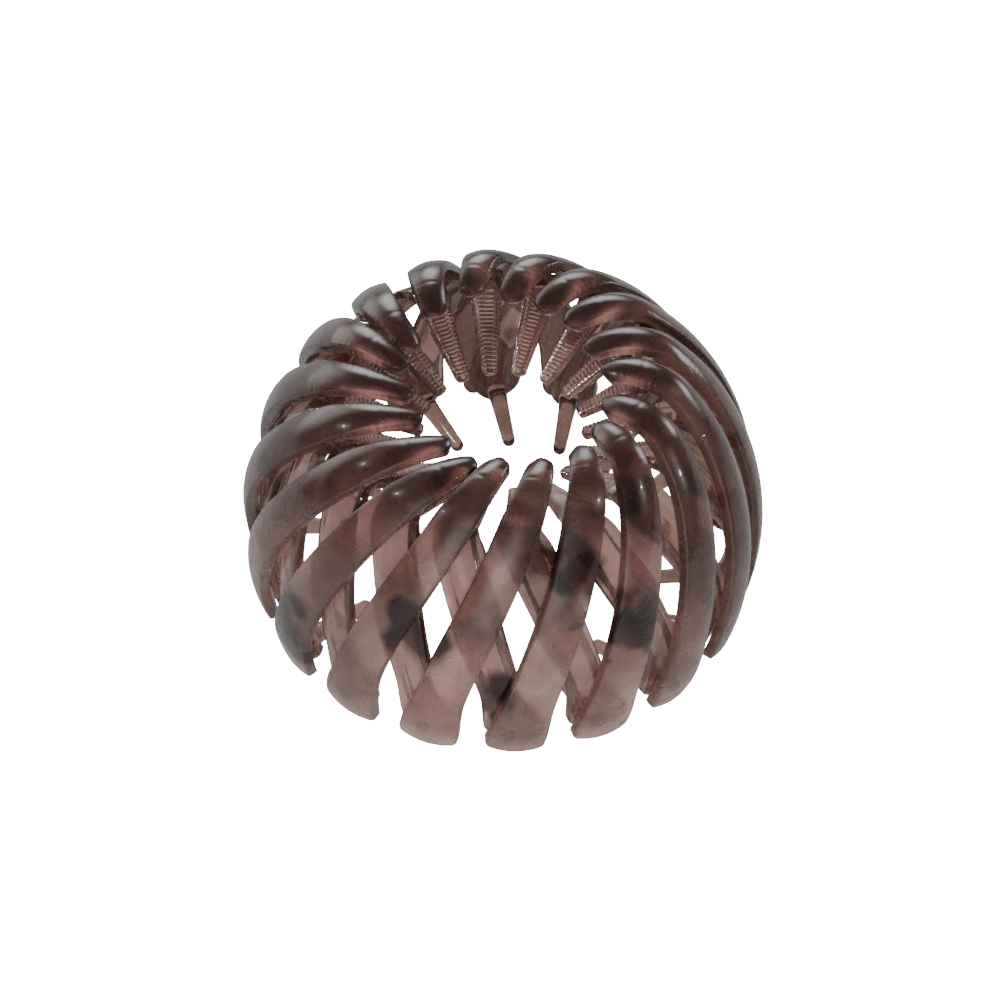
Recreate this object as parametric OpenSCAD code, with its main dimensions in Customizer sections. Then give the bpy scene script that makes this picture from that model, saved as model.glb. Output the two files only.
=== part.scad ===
// Expandable nest clip for a hair bun, in millimetres, +Z up, standing on its feet.
// The origin is on the floor, on the axis of the ring.
// Outer blades climb to the right and curl in over the top. Inner strips climb to the left behind
// them, end in a comb tooth and carry a prong at the foot. Studs on the strips pivot in the blades.

/* [Ring] */
// Number of blades, and of strips behind them
unit_count = 18; // [16:1:18]
// Radius of the dome that the outer faces of the blades follow
dome_r = 38; // [37:0.5:41]
// Height of the dome's widest circle above the floor
waist_z = 11.4; // [11:0.1:12]
// Turn of the whole ring about its axis
ring_turn = 2; // [-10:0.5:10]

/* [Outer blade] */
// Thickness from the crown to the inner face
blade_t = 2.2; // [2:0.1:2.6]
// Drop from the crown to the long edges
blade_crown = 0.7; // [0.3:0.1:1]
// Widths of the foot, just above it, at mid height, at the shoulder and at the tip
blade_foot_w = 8.7; // [8:0.1:9.5]
blade_low_w = 7.2; // [6:0.1:8]
blade_mid_w = 6.4; // [5:0.1:7]
blade_shoulder_w = 5.8; // [5:0.1:6.2]
blade_tip_w = 3.5; // [3.2:0.1:3.7]
// How far the foot reaches below its pivot
blade_foot_run = 4.6; // [4.4:0.1:4.8]
// Rounding of the foot's two lower corners
blade_foot_corner = 2.2; // [1.5:0.1:4]
// Dome angle where the arch over the top begins, above the widest circle
shoulder_angle = 45; // [43:1:47]
// Radius of that arch
shoulder_r = 9; // [8.5:0.5:9.5]
// Angle at which the arch ends, in the tip
blade_end_angle = 125; // [118:1:130]
// How far round the ring a blade leans on its way up
blade_sweep = 34.5; // [32:0.5:36]
// Turn of the blade's foot from the pivot that holds it
blade_foot_turn = 1.5; // [0.8:0.1:2]
// How far above its upper pivot a blade still keeps in line
blade_held = 6; // [4:0.5:8]
// How much of its own bend each blade has. At 0 all the blades are alike.
blade_bend = 1; // [0:0.1:1]

/* [Inner strip] */
// Clearance between the blades' inner face and the strips' outer face
layer_gap = 0.4; // [0.35:0.05:0.6]
// Thickness of the flat strip
strip_t = 1.3; // [1.1:0.1:1.6]
// Widths of the foot disc, just above it and near the bend
strip_foot_w = 8.2; // [7:0.1:9]
strip_low_w = 6; // [5:0.1:7]
strip_top_w = 7.2; // [6:0.1:7.4]
// Width and height of the rib on the inner face
rib_w = 3; // [2:0.1:3.4]
rib_h = 1.2; // [0.8:0.1:1.4]
// How far round the ring a strip leans back by the time it bends
strip_sweep = 14.5; // [13:0.5:16]
// Dome angle where the strip turns inward
bend_angle = 38; // [34:1:39]
// Radius of the bend, at the outer face
bend_r = 4.5; // [4:0.5:5]

/* [Comb tooth] */
// Width at the bend and at the blunt end
tooth_root_w = 4.4; // [3.6:0.1:4.8]
tooth_end_w = 1.9; // [1.6:0.1:2]
// Thickness at the blunt end
tooth_end_t = 1.5; // [1.2:0.1:1.8]
// Radius of the circle that the teeth leave open
tooth_ring_r = 11.1; // [10.5:0.1:13]
// Fall of the tooth below level, and its turn from the radius
tooth_fall = 27; // [22:1:30]
tooth_turn = 4; // [0:1:8]

/* [Prong] */
// Radii of the prong at its root and its round end
prong_root_r = 1.45; // [1.3:0.05:1.5]
prong_end_r = 0.95; // [0.8:0.05:1.1]
// Radius of the circle that the prongs leave open
prong_ring_r = 21.7; // [20:0.1:24]
// Height of the axis above the floor at the root and at the end
prong_root_z = 3.1; // [2.9:0.1:3.5]
prong_end_z = 2; // [1.6:0.1:2.5]
// Turn of the prong from the radius
prong_turn = 5; // [0:1:8]

/* [Pivots] */
// Dome angle of the foot pivots, below the widest circle
foot_angle = -10.8; // [-11.5:0.1:-10.4]
// Radius of a stud, and the play round and above it in its socket
stud_r = 1.1; // [0.9:0.05:1.3]
stud_play = 0.15; // [0.1:0.05:0.25]
// How far a stud reaches into its blade
stud_reach = 0.9; // [0.6:0.1:1.1]

/* [Hidden] */
pitch = 360 / unit_count;
// Depth of the strips' outer face below the blades' outer face
strip_face = blade_t + layer_gap;
// Radius of the strips' outer face
strip_r = dome_r - strip_face;
// Numbers of steps round an end, along a climb, over a blade's arch and round a strip's bend
END_STEPS = 3;
RUN_STEPS = 6;
ARCH_STEPS = 5;
BEND_STEPS = 4;
// Angle at which a round end stops short, so that it is a small flat
END_FLAT = 22;
// Sides of what is round
ROUND = 32;
MM_PER_DEG = PI / 180;

function two_digits(i) = str(i < 10 ? "0" : "", i);
function blade_name(i) = str("outer_blade_", two_digits(i));
function strip_name(i) = str("inner_strip_", two_digits(i));
UNITS = [for (i = [1 : unit_count]) i];

// Vector helpers
function unit(v) = v / norm(v);
function on_ring(r, z, a) = [r * sin(a), -r * cos(a), z];
function blend(a, b, t) = a + (b - a) * t;

// A meridian is a circular dome up to one angle and a smaller arch beyond it.
// It gives the radius from the axis and the height at an angle of its outward normal.
function meridian(a, start_a, dome, arch) =
    let (r = a < start_a ? dome : arch,
         centre = a < start_a ? 0 : dome - arch)
    [centre * cos(start_a) + r * cos(a), waist_z + centre * sin(start_a) + r * sin(a)];

// The blade's path. s is the length climbed from the foot pivot along the outer face.
blade_dome_len = (shoulder_angle - foot_angle) * dome_r * MM_PER_DEG;
blade_arch_len = (blade_end_angle - shoulder_angle) * shoulder_r * MM_PER_DEG;
blade_len = blade_dome_len + blade_arch_len;
function blade_angle(s) = s < blade_dome_len
    ? foot_angle + s / (dome_r * MM_PER_DEG)
    : shoulder_angle + (s - blade_dome_len) / (shoulder_r * MM_PER_DEG);
// Blades and strips lean more towards the top. This is the share that grows evenly.
BLADE_EVEN_LEAN = 0.42;
STRIP_EVEN_LEAN = 0.6;
function lean(t, even) = even * t + (1 - even) * t * t;
// Above its pivots each blade has bent a little out of line. A row for each blade, from the first:
// how far the tip leans in towards the axis, and how many degrees it has slipped round the ring.
LEANS_IN = 0;
SLIPS = 1;
TIP_BENDS = [[-1, 1], [0, -2], [1, -5], [1.5, 0], [2.5, 0], [1.5, 3], [1, 1], [0, -1], [-1.5, -3],
    [0, -2], [2, 5], [2, 0], [3, 3], [2.5, 4], [2, 9], [0, 7], [0.5, 1], [-0.5, 1]];
function bend(i, column, s) =
    let (free = blade_cross_s + blade_held, past = max(0, s - free) / (blade_len - free))
    blade_bend * TIP_BENDS[i - 1][column] * past * past;
function blade_turn(s, i) =
    blade_foot_turn + blade_sweep * lean(s / blade_len, BLADE_EVEN_LEAN) + bend(i, SLIPS, s);
function blade_point(s, i) =
    let (m = meridian(blade_angle(s), shoulder_angle, dome_r, shoulder_r))
    on_ring(m[0] - bend(i, LEANS_IN, s), m[1], blade_turn(s, i));
function blade_normal(s, i) =
    let (a = blade_angle(s))
    on_ring(cos(a), sin(a), blade_turn(s, i));

// The strip's path along its outer face: a climb, a bend and a straight tooth.
climb_len = (bend_angle - foot_angle) * strip_r * MM_PER_DEG;
tooth_angle = 90 + tooth_fall;
bend_len = (tooth_angle - bend_angle) * bend_r * MM_PER_DEG;
bend_end = meridian(tooth_angle, bend_angle, strip_r, bend_r);
tooth_len = (bend_end[0] - tooth_ring_r) / cos(tooth_fall);
strip_len = climb_len + bend_len + tooth_len;
function strip_angle(s) = s < climb_len
    ? foot_angle + s / (strip_r * MM_PER_DEG)
    : min(tooth_angle, bend_angle + (s - climb_len) / (bend_r * MM_PER_DEG));
function strip_meridian(s) =
    let (past = max(0, s - climb_len - bend_len), m = meridian(strip_angle(s), bend_angle, strip_r, bend_r))
    [m[0] - past * cos(tooth_fall), m[1] - past * sin(tooth_fall)];
// The lean backs off through the bend until the tooth's own turn is reached.
bend_lean_in = -strip_sweep * (2 - STRIP_EVEN_LEAN) * bend_len / climb_len;
bend_lean_out = tan(tooth_turn) * bend_len / bend_end[0] / MM_PER_DEG;
function bend_turn(t) = bend_lean_in * t + (bend_lean_out - bend_lean_in) / 2 * t * t;
function strip_turn(s) = s < climb_len
    ? -strip_sweep * lean(s / climb_len, STRIP_EVEN_LEAN)
    : -strip_sweep + (s < climb_len + bend_len
        ? bend_turn((s - climb_len) / bend_len)
        : bend_turn(1) + tan(tooth_turn) * ln(bend_end[0] / strip_meridian(s)[0]) / MM_PER_DEG);
function strip_point(s) = let (m = strip_meridian(s)) on_ring(m[0], m[1], strip_turn(s));
function strip_normal(s) = let (a = strip_angle(s)) on_ring(cos(a), sin(a), strip_turn(s));

// A blade crosses the next unit's strip where their leans add up to the pitch.
blade_share = dome_r * MM_PER_DEG / blade_len;
strip_share = strip_r * MM_PER_DEG / climb_len;
cross_a = blade_sweep * (1 - BLADE_EVEN_LEAN) * pow(blade_share, 2)
    + strip_sweep * (1 - STRIP_EVEN_LEAN) * pow(strip_share, 2);
cross_b = blade_sweep * BLADE_EVEN_LEAN * blade_share + strip_sweep * STRIP_EVEN_LEAN * strip_share;
cross_c = pitch - blade_foot_turn;
cross_climb = (sqrt(cross_b * cross_b + 4 * cross_a * cross_c) - cross_b) / (2 * cross_a);
blade_cross_s = cross_climb * dome_r * MM_PER_DEG;
strip_cross_s = cross_climb * strip_r * MM_PER_DEG;

// Half widths by place along the path. An end narrows over its corner radius.
FOOT_RUN = 7;
MID_SHARE = 0.7;
blade_widths = [[0, blade_foot_w], [FOOT_RUN, blade_low_w], [blade_dome_len * MID_SHARE, blade_mid_w],
    [blade_dome_len, blade_shoulder_w], [blade_len, blade_tip_w]];
strip_widths = [[0, strip_foot_w], [FOOT_RUN, strip_low_w], [climb_len, strip_top_w],
    [climb_len + bend_len, tooth_root_w], [strip_len, tooth_end_w]];
function corner(d, r) = d >= r ? 0 : sqrt(r * r - (r - d) * (r - d)) - r;
function blade_half_w(s) = lookup(s, blade_widths) / 2
    + corner(s + blade_foot_run, blade_foot_corner) + corner(blade_len - s, blade_tip_w / 2);
function strip_half_w(s) = lookup(s, strip_widths) / 2 + corner(s + strip_foot_w / 2, strip_foot_w / 2);

// Places of the sections along each path
function corner_places(r, first) = [for (k = [0 : END_STEPS - 1])
    r * (1 - cos(blend(first, 90, k / END_STEPS)))];
blade_places = concat(
    [for (d = corner_places(blade_foot_corner, 0)) d - blade_foot_run],
    [blade_foot_corner - blade_foot_run, 0],
    [for (k = [0 : RUN_STEPS - 1]) blend(FOOT_RUN, blade_dome_len, k / RUN_STEPS)],
    [for (k = [0 : ARCH_STEPS - 1])
        blend(blade_dome_len, blade_len - blade_tip_w / 2, k / (ARCH_STEPS - 1))],
    [for (k = [END_STEPS - 1 : -1 : 0]) blade_len - corner_places(blade_tip_w / 2, END_FLAT)[k]]);
strip_places = concat(
    [for (d = corner_places(strip_foot_w / 2, END_FLAT)) d - strip_foot_w / 2],
    [0],
    [for (k = [0 : RUN_STEPS - 1]) blend(FOOT_RUN, climb_len, k / (RUN_STEPS - 1))],
    [for (k = [1 : BEND_STEPS]) blend(climb_len, climb_len + bend_len, k / BEND_STEPS)],
    [strip_len]);

// A section's outline is a list of [across, depth] points.
// The crown is drawn through points halfway to each edge, where it has dropped by a quarter.
function blade_outline(w) =
    let (half = w / 2, dropped = blade_crown / 4)
    [[-w, blade_crown], [-half, dropped], [0, 0], [half, dropped], [w, blade_crown],
     [w, blade_t], [-w, blade_t]];
// The rib stays inside narrow ends, and its sides lean in by this share of its width.
RIB_SHARE = 0.72;
RIB_DRAFT = 0.08;
// Share of a tooth's end that is shelf, the rest is rib
TOOTH_SHELF = 0.6;
function strip_outline(w, s) =
    let (t = max(0, s - climb_len - bend_len) / tooth_len,
         deep = blend(strip_t + rib_h, tooth_end_t, t),
         shelf = blend(strip_t, tooth_end_t * TOOTH_SHELF, t),
         top = min(rib_w / 2, w * RIB_SHARE),
         base = top * (1 + RIB_DRAFT))
    [[-w, 0], [w, 0], [w, shelf], [base, shelf], [top, deep],
     [-top, deep], [-base, shelf], [-w, shelf]];

// One section of a bar: its outline set square to the path, face outward
function section(p, ahead, normal, outline) =
    let (t = unit(ahead), n = unit(normal - (normal * t) * t), across = cross(t, n))
    [for (q = outline) p + across * q[0] - n * q[1]];

module bar(sections) {
    n = len(sections[0]);
    last = len(sections) - 1;
    polyhedron(
        points = [for (ring = sections, p = ring) p],
        faces = concat(
            [[for (j = [0 : n - 1]) j]],
            [for (i = [0 : last - 1], j = [0 : n - 1])
                let (a = i * n + j, b = i * n + (j + 1) % n) each [[a, a + n, b], [b, a + n, b + n]]],
            [[for (j = [n - 1 : -1 : 0]) last * n + j]]));
}

// Half the stretch of path that gives a section its direction
STEP_S = 0.2;
function blade_section(s, i) = section(
    blade_point(s, i), blade_point(s + STEP_S, i) - blade_point(s - STEP_S, i),
    blade_normal(s, i), blade_outline(blade_half_w(s)));
function strip_section(s) = section(strip_point(s), strip_point(s + STEP_S) - strip_point(s - STEP_S),
    strip_normal(s), strip_outline(strip_half_w(s), s));

// A round peg square to the dome, between two depths below the blades' outer face
module peg(angle, turn, r, deep, shallow) {
    translate([0, 0, waist_z])
        rotate([90 - angle, 0, turn])
            translate([0, 0, dome_r - deep])
                cylinder(r = r, h = deep - shallow, $fn = ROUND);
}

module outer_blade(i) {
    socket_top = blade_t - stud_reach - stud_play;
    color([0.42, 0.34, 0.32])
        rotate([0, 0, ring_turn + (i - 1) * pitch])
            difference() {
                bar([for (s = blade_places) blade_section(s, i)]);
                peg(foot_angle, 0, stud_r + stud_play, strip_face, socket_top);
                peg(foot_angle + cross_climb, blade_turn(blade_cross_s, i), stud_r + stud_play,
                    strip_face, socket_top);
                floor_cut();
            }
}

module inner_strip(i) {
    stud_top = blade_t - stud_reach;
    stud_root = strip_face + strip_t / 2;
    color([0.55, 0.46, 0.43])
        rotate([0, 0, ring_turn + (i - 1) * pitch])
            difference() {
                union() {
                    bar([for (s = strip_places) strip_section(s)]);
                    peg(foot_angle, 0, stud_r, stud_root, stud_top);
                    peg(foot_angle + cross_climb, strip_turn(strip_cross_s), stud_r, stud_root, stud_top);
                    prong();
                }
                floor_cut();
            }
}

// The prong is a cone with a round end, from inside the rib towards the axis.
module prong() {
    root = on_ring(strip_r - strip_t - rib_h / 2, prong_root_z, 0);
    end = on_ring(prong_ring_r + prong_end_r, prong_end_z, -prong_turn);
    run = end - root;
    translate(root)
        rotate([0, acos(run[2] / norm(run)), atan2(run[1], run[0])]) {
            cylinder(r1 = prong_root_r, r2 = prong_end_r, h = norm(run), $fn = ROUND);
            translate([0, 0, norm(run)])
                sphere(r = prong_end_r, $fn = ROUND);
        }
}

// Takes off what would reach below the floor, so that each foot stands on a small flat
module floor_cut() {
    translate([-dome_r, -dome_r, -waist_z] * 2)
        cube([dome_r, dome_r, waist_z / 2] * 4);
}

for (i = UNITS) {
    outer_blade(i);
    inner_strip(i);
}
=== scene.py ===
"""Expandable nest clip for a hair bun: looks, in metres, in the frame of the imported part.

The clip is a ring of eighteen units. Each unit has an outer blade, which climbs to the right and curls in
over the top, and an inner strip, which climbs to the left behind the blades and ends in a ridged comb tooth,
with a prong at its foot. Every surface here is a function of two parameters: a place along a path and a
place round a section. A path lies on a meridian, a dome with a smaller arch above it, and turns round the
ring as it climbs.
"""

import logging
from dataclasses import dataclass, field, replace
from enum import Enum

import bpy
import numpy as np
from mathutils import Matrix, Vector

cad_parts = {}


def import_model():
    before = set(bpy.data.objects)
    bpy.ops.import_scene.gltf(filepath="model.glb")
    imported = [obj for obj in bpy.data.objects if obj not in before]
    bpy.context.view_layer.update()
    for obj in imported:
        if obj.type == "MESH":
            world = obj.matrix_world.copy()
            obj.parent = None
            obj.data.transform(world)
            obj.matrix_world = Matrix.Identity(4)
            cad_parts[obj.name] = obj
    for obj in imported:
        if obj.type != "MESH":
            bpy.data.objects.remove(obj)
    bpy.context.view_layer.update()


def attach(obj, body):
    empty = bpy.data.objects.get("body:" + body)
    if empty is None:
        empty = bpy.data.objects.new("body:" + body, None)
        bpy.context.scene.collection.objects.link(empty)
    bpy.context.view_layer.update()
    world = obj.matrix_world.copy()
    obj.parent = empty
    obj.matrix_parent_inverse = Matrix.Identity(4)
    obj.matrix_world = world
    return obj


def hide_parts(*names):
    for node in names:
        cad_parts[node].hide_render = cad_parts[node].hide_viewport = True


LOG = logging.getLogger("nest_clip")
Colour = tuple[float, float, float, float]
Socket = bpy.types.NodeSocket
WHITE: Colour = (1.0, 1.0, 1.0, 1.0)

# Metres in a millimetre.
MM = 0.001
# Millimetres before and after a place over which a table of widths is averaged, and the readings it takes.
TABLE_BLEND = 1.6
TABLE_READINGS = 9
# The most that a rounded corner takes of a side, as a share of that side, and the points on the corner.
CORNER_SHARE = 0.45
CORNER_STEPS = 4
# Half width in millimetres that a bar keeps at its very ends.
LEAST_HALF_WIDTH = 0.02
# A length in millimetres that keeps a side of no length from dividing by zero.
TINY = 1e-9
# Millimetres before and after a place between which a path's direction is taken.
PATH_STEP = 0.05
# The middle of a noise.
NOISE_MIDDLE = 0.5
# Minus a distance, in radii of a patch, at which no patch shows.
FAR_AWAY = -9.0
# The middle of a lamp's face in its own coordinates, and where every lamp is aimed, in metres.
LAMP_MIDDLE = (0.5, 0.5, 0.0)
LAMP_AIM = (0.0, 0.0, 0.02)


class Layer(Enum):
    """Which of the two layers of the ring a piece belongs to, and its material slot."""

    BLADES = "blade_plastic"
    STRIPS = "strip_plastic"


@dataclass(frozen=True)
class Ring:
    """Sizes that all units share, in millimetres and degrees.

    Args:
        units: Blades in the ring, and strips behind them.
        dome_r: Radius of the dome that the blades' outer faces follow.
        waist_z: Height of the dome's widest circle.
        turn: Turn of the first unit about the axis.
        foot_angle: Dome angle of the foot pivots, below the widest circle.
    """

    units: int = 18
    dome_r: float = 38.0
    waist_z: float = 11.4
    turn: float = 2.0
    foot_angle: float = -10.8

    @property
    def pitch(self) -> float:
        """Degrees from one unit to the next."""
        return 360.0 / self.units

    def on_ring(self, r: np.ndarray, z: np.ndarray, turn: np.ndarray) -> np.ndarray:
        """Points at radius r and height z, turned from the front: (r sin a, -r cos a, z)."""
        a = np.radians(turn)
        return np.stack([r * np.sin(a), -r * np.cos(a), z + np.zeros_like(a)], axis=-1)


def unit(v: np.ndarray) -> np.ndarray:
    """Vectors of length one along the last axis."""
    return v / np.linalg.norm(v, axis=-1, keepdims=True)


def ease(t: np.ndarray) -> np.ndarray:
    """The smooth step 3t^2 - 2t^3, held at 0 and 1 outside its range."""
    t = np.clip(t, 0.0, 1.0)
    return t * t * (3.0 - 2.0 * t)


def smooth_table(s: np.ndarray, places: np.ndarray, values: np.ndarray) -> np.ndarray:
    """Values between the rows of a table, with rounded corners.

    The straight line through the rows is averaged with itself a little before and after each place.

    Args:
        s: Places to read.
        places: The rows' places, rising.
        values: The rows' values.

    Returns:
        One value for each place in s.
    """
    reach = np.linspace(-TABLE_BLEND, TABLE_BLEND, TABLE_READINGS)
    return np.mean([np.interp(s + d, places, values) for d in reach], axis=0)


def corner(d: np.ndarray, r: float) -> np.ndarray:
    """What a corner of radius r takes off a side at distance d from the end: sqrt(r^2 - (r - d)^2) - r."""
    back = np.clip(r - d, 0.0, r)
    return np.sqrt(np.maximum(r * r - back * back, 0.0)) - r


def rounded_outline(corners: np.ndarray, radii: np.ndarray) -> np.ndarray:
    """A closed outline with its corners rounded.

    Each corner C becomes a quadratic curve from P = C + r a to Q = C + r b, where a and b point along its two
    sides. Its radius r stops short of the middle of the shorter side. The curve is
    (1-t)^2 P + 2t(1-t) C + t^2 Q.

    Args:
        corners: Corner points, shaped (sections, corners, 2).
        radii: One radius for each corner.

    Returns:
        Points shaped (sections, corners * CORNER_STEPS, 2).
    """
    back = np.roll(corners, 1, axis=1) - corners
    ahead = np.roll(corners, -1, axis=1) - corners
    back_len = np.linalg.norm(back, axis=-1, keepdims=True) + TINY
    ahead_len = np.linalg.norm(ahead, axis=-1, keepdims=True) + TINY
    r = np.minimum(radii[None, :, None], CORNER_SHARE * np.minimum(back_len, ahead_len))
    p, q = corners + back / back_len * r, corners + ahead / ahead_len * r
    t = np.linspace(0.0, 1.0, CORNER_STEPS)[None, None, :, None]
    curve = (1 - t) ** 2 * p[:, :, None] + 2 * t * (1 - t) * corners[:, :, None] + t**2 * q[:, :, None]
    return curve.reshape(len(corners), -1, 2)


@dataclass
class Skin:
    """A closed surface: rows of points along a path, with a pole at each end.

    Args:
        points: Grid of points, shaped (rows, columns, 3), closed round its columns.
    """

    points: np.ndarray

    def arrays(self) -> tuple[np.ndarray, np.ndarray, np.ndarray]:
        """Vertices, quads and triangles of the surface, with faces that point outward.

        Returns:
            Vertices (n, 3), quads (q, 4) and the triangles (t, 3) that close the two ends.
        """
        rows, columns, _ = self.points.shape
        first, last = self.points[0].mean(axis=0), self.points[-1].mean(axis=0)
        verts = np.concatenate([self.points.reshape(-1, 3), [first, last]])
        i, j = np.meshgrid(np.arange(rows - 1), np.arange(columns), indexing="ij")
        k = (j + 1) % columns
        here, next_row = i * columns, (i + 1) * columns
        quads = np.stack([here + j, next_row + j, next_row + k, here + k], axis=-1)
        j = np.arange(columns)
        k = (j + 1) % columns
        top = (rows - 1) * columns
        foot = np.stack([np.full(columns, rows * columns), j, k], axis=-1)
        tip = np.stack([np.full(columns, rows * columns + 1), top + k, top + j], axis=-1)
        return verts, quads.reshape(-1, 4), np.concatenate([foot, tip])

    def mesh(self, name: str) -> bpy.types.Mesh:
        """Puts the surface into a mesh, in metres.

        Args:
            name: The mesh's name.

        Returns:
            The mesh.
        """
        verts, quads, tris = self.arrays()
        mesh = bpy.data.meshes.new(name)
        mesh.vertices.add(len(verts))
        mesh.vertices.foreach_set("co", (verts * MM).astype(np.float32).ravel())
        mesh.loops.add(quads.size + tris.size)
        mesh.loops.foreach_set("vertex_index", np.concatenate([quads.ravel(), tris.ravel()]).astype(np.int32))
        starts = np.concatenate([np.arange(len(quads)) * 4, quads.size + np.arange(len(tris)) * 3])
        mesh.polygons.add(len(starts))
        mesh.polygons.foreach_set("loop_start", starts.astype(np.int32))
        mesh.update(calc_edges=True)
        mesh.validate()
        return mesh


@dataclass
class Bar:
    """A bar carried along a path on the ring: what blades and strips have in common.

    Args:
        ring: Sizes that all units share.
        rows: Sections along the path.
    """

    ring: Ring = field(default_factory=Ring)
    rows: int = 250

    def angle(self, s: np.ndarray) -> np.ndarray:
        """Angle of the outward normal above level, at places s along the path."""
        raise NotImplementedError

    def meridian(self, s: np.ndarray) -> tuple[np.ndarray, np.ndarray]:
        """Radius from the axis and height, at places s along the path."""
        raise NotImplementedError

    def turn(self, s: np.ndarray) -> np.ndarray:
        """Turn round the ring from the unit's foot pivot, at places s along the path."""
        raise NotImplementedError

    def centre_line(self, s: np.ndarray) -> np.ndarray:
        """Points of the path."""
        r, z = self.meridian(s)
        return self.ring.on_ring(r, z, self.turn(s))

    def frames(self, s: np.ndarray) -> tuple[np.ndarray, np.ndarray, np.ndarray]:
        """The path's points with the directions across and outward.

        The outward direction is the meridian's normal less its part along the path.

        Args:
            s: Places along the path.

        Returns:
            Points, unit vectors across and unit vectors outward, each shaped (rows, 3).
        """
        p = self.centre_line(s)
        ahead = unit(self.centre_line(s + PATH_STEP) - self.centre_line(s - PATH_STEP))
        a = np.radians(self.angle(s))
        normal = self.ring.on_ring(np.cos(a), np.sin(a), self.turn(s))
        outward = unit(normal - np.sum(normal * ahead, axis=-1, keepdims=True) * ahead)
        return p, np.cross(ahead, outward), outward

    def sweep(self, s: np.ndarray, outline: np.ndarray) -> np.ndarray:
        """Carries outlines of [across, depth] along the path: p + across x - outward d.

        Args:
            s: Places of the sections.
            outline: Outlines, shaped (rows, columns, 2).

        Returns:
            Points shaped (rows, columns, 3), with nothing below the floor.
        """
        p, across, outward = self.frames(s)
        points = p[:, None] + across[:, None] * outline[..., :1] - outward[:, None] * outline[..., 1:]
        points[..., 2] = np.maximum(points[..., 2], 0.0)
        return points


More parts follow.
